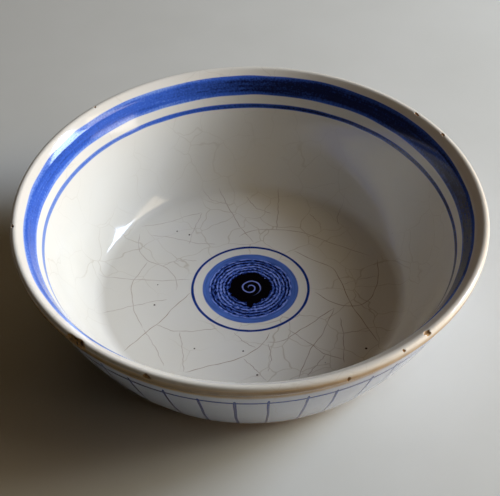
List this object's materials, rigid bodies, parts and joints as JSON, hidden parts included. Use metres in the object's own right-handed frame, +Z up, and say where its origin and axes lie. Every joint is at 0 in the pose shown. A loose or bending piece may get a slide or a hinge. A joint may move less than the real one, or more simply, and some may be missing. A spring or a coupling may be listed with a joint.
{
  "type": "ceramic bowl",
  "caption": "Wide shallow ceramic bowl for serving or mixing: rolled rim, turned foot ring, white glaze, blue rim bands, round centre medallion and upright strokes outside.",
  "frame": {"origin": "middle of the foot ring's resting face, on the surface that the bowl stands on", "axes": "+Z up along the bowl's axis of turning, +X to the right and +Y away from the viewer in the picture's view"},
  "size_m": [0.24, 0.24, 0.072],
  "materials": {
    "fired_clay": "bare fired earthenware, matt",
    "white_glaze": "glossy opaque white glaze with fine crazing",
    "cobalt_paint": "brushed cobalt under a glossy glaze",
    "cobalt_wash": "thin streaky cobalt wash, glossy",
    "dark_paint": "thick dark cobalt, glossy"
  },
  "bodies": {
    "root": {"clay_body": "fired_clay", "inside_glaze": "white_glaze", "outside_glaze": "white_glaze", "rim_band": "cobalt_paint", "rim_line": "cobalt_paint", "medallion_ring": "cobalt_paint", "medallion_wash": "cobalt_wash", "medallion_centre": "dark_paint", "outside_stripes": "cobalt_paint"}
  },
  "joints": []
}
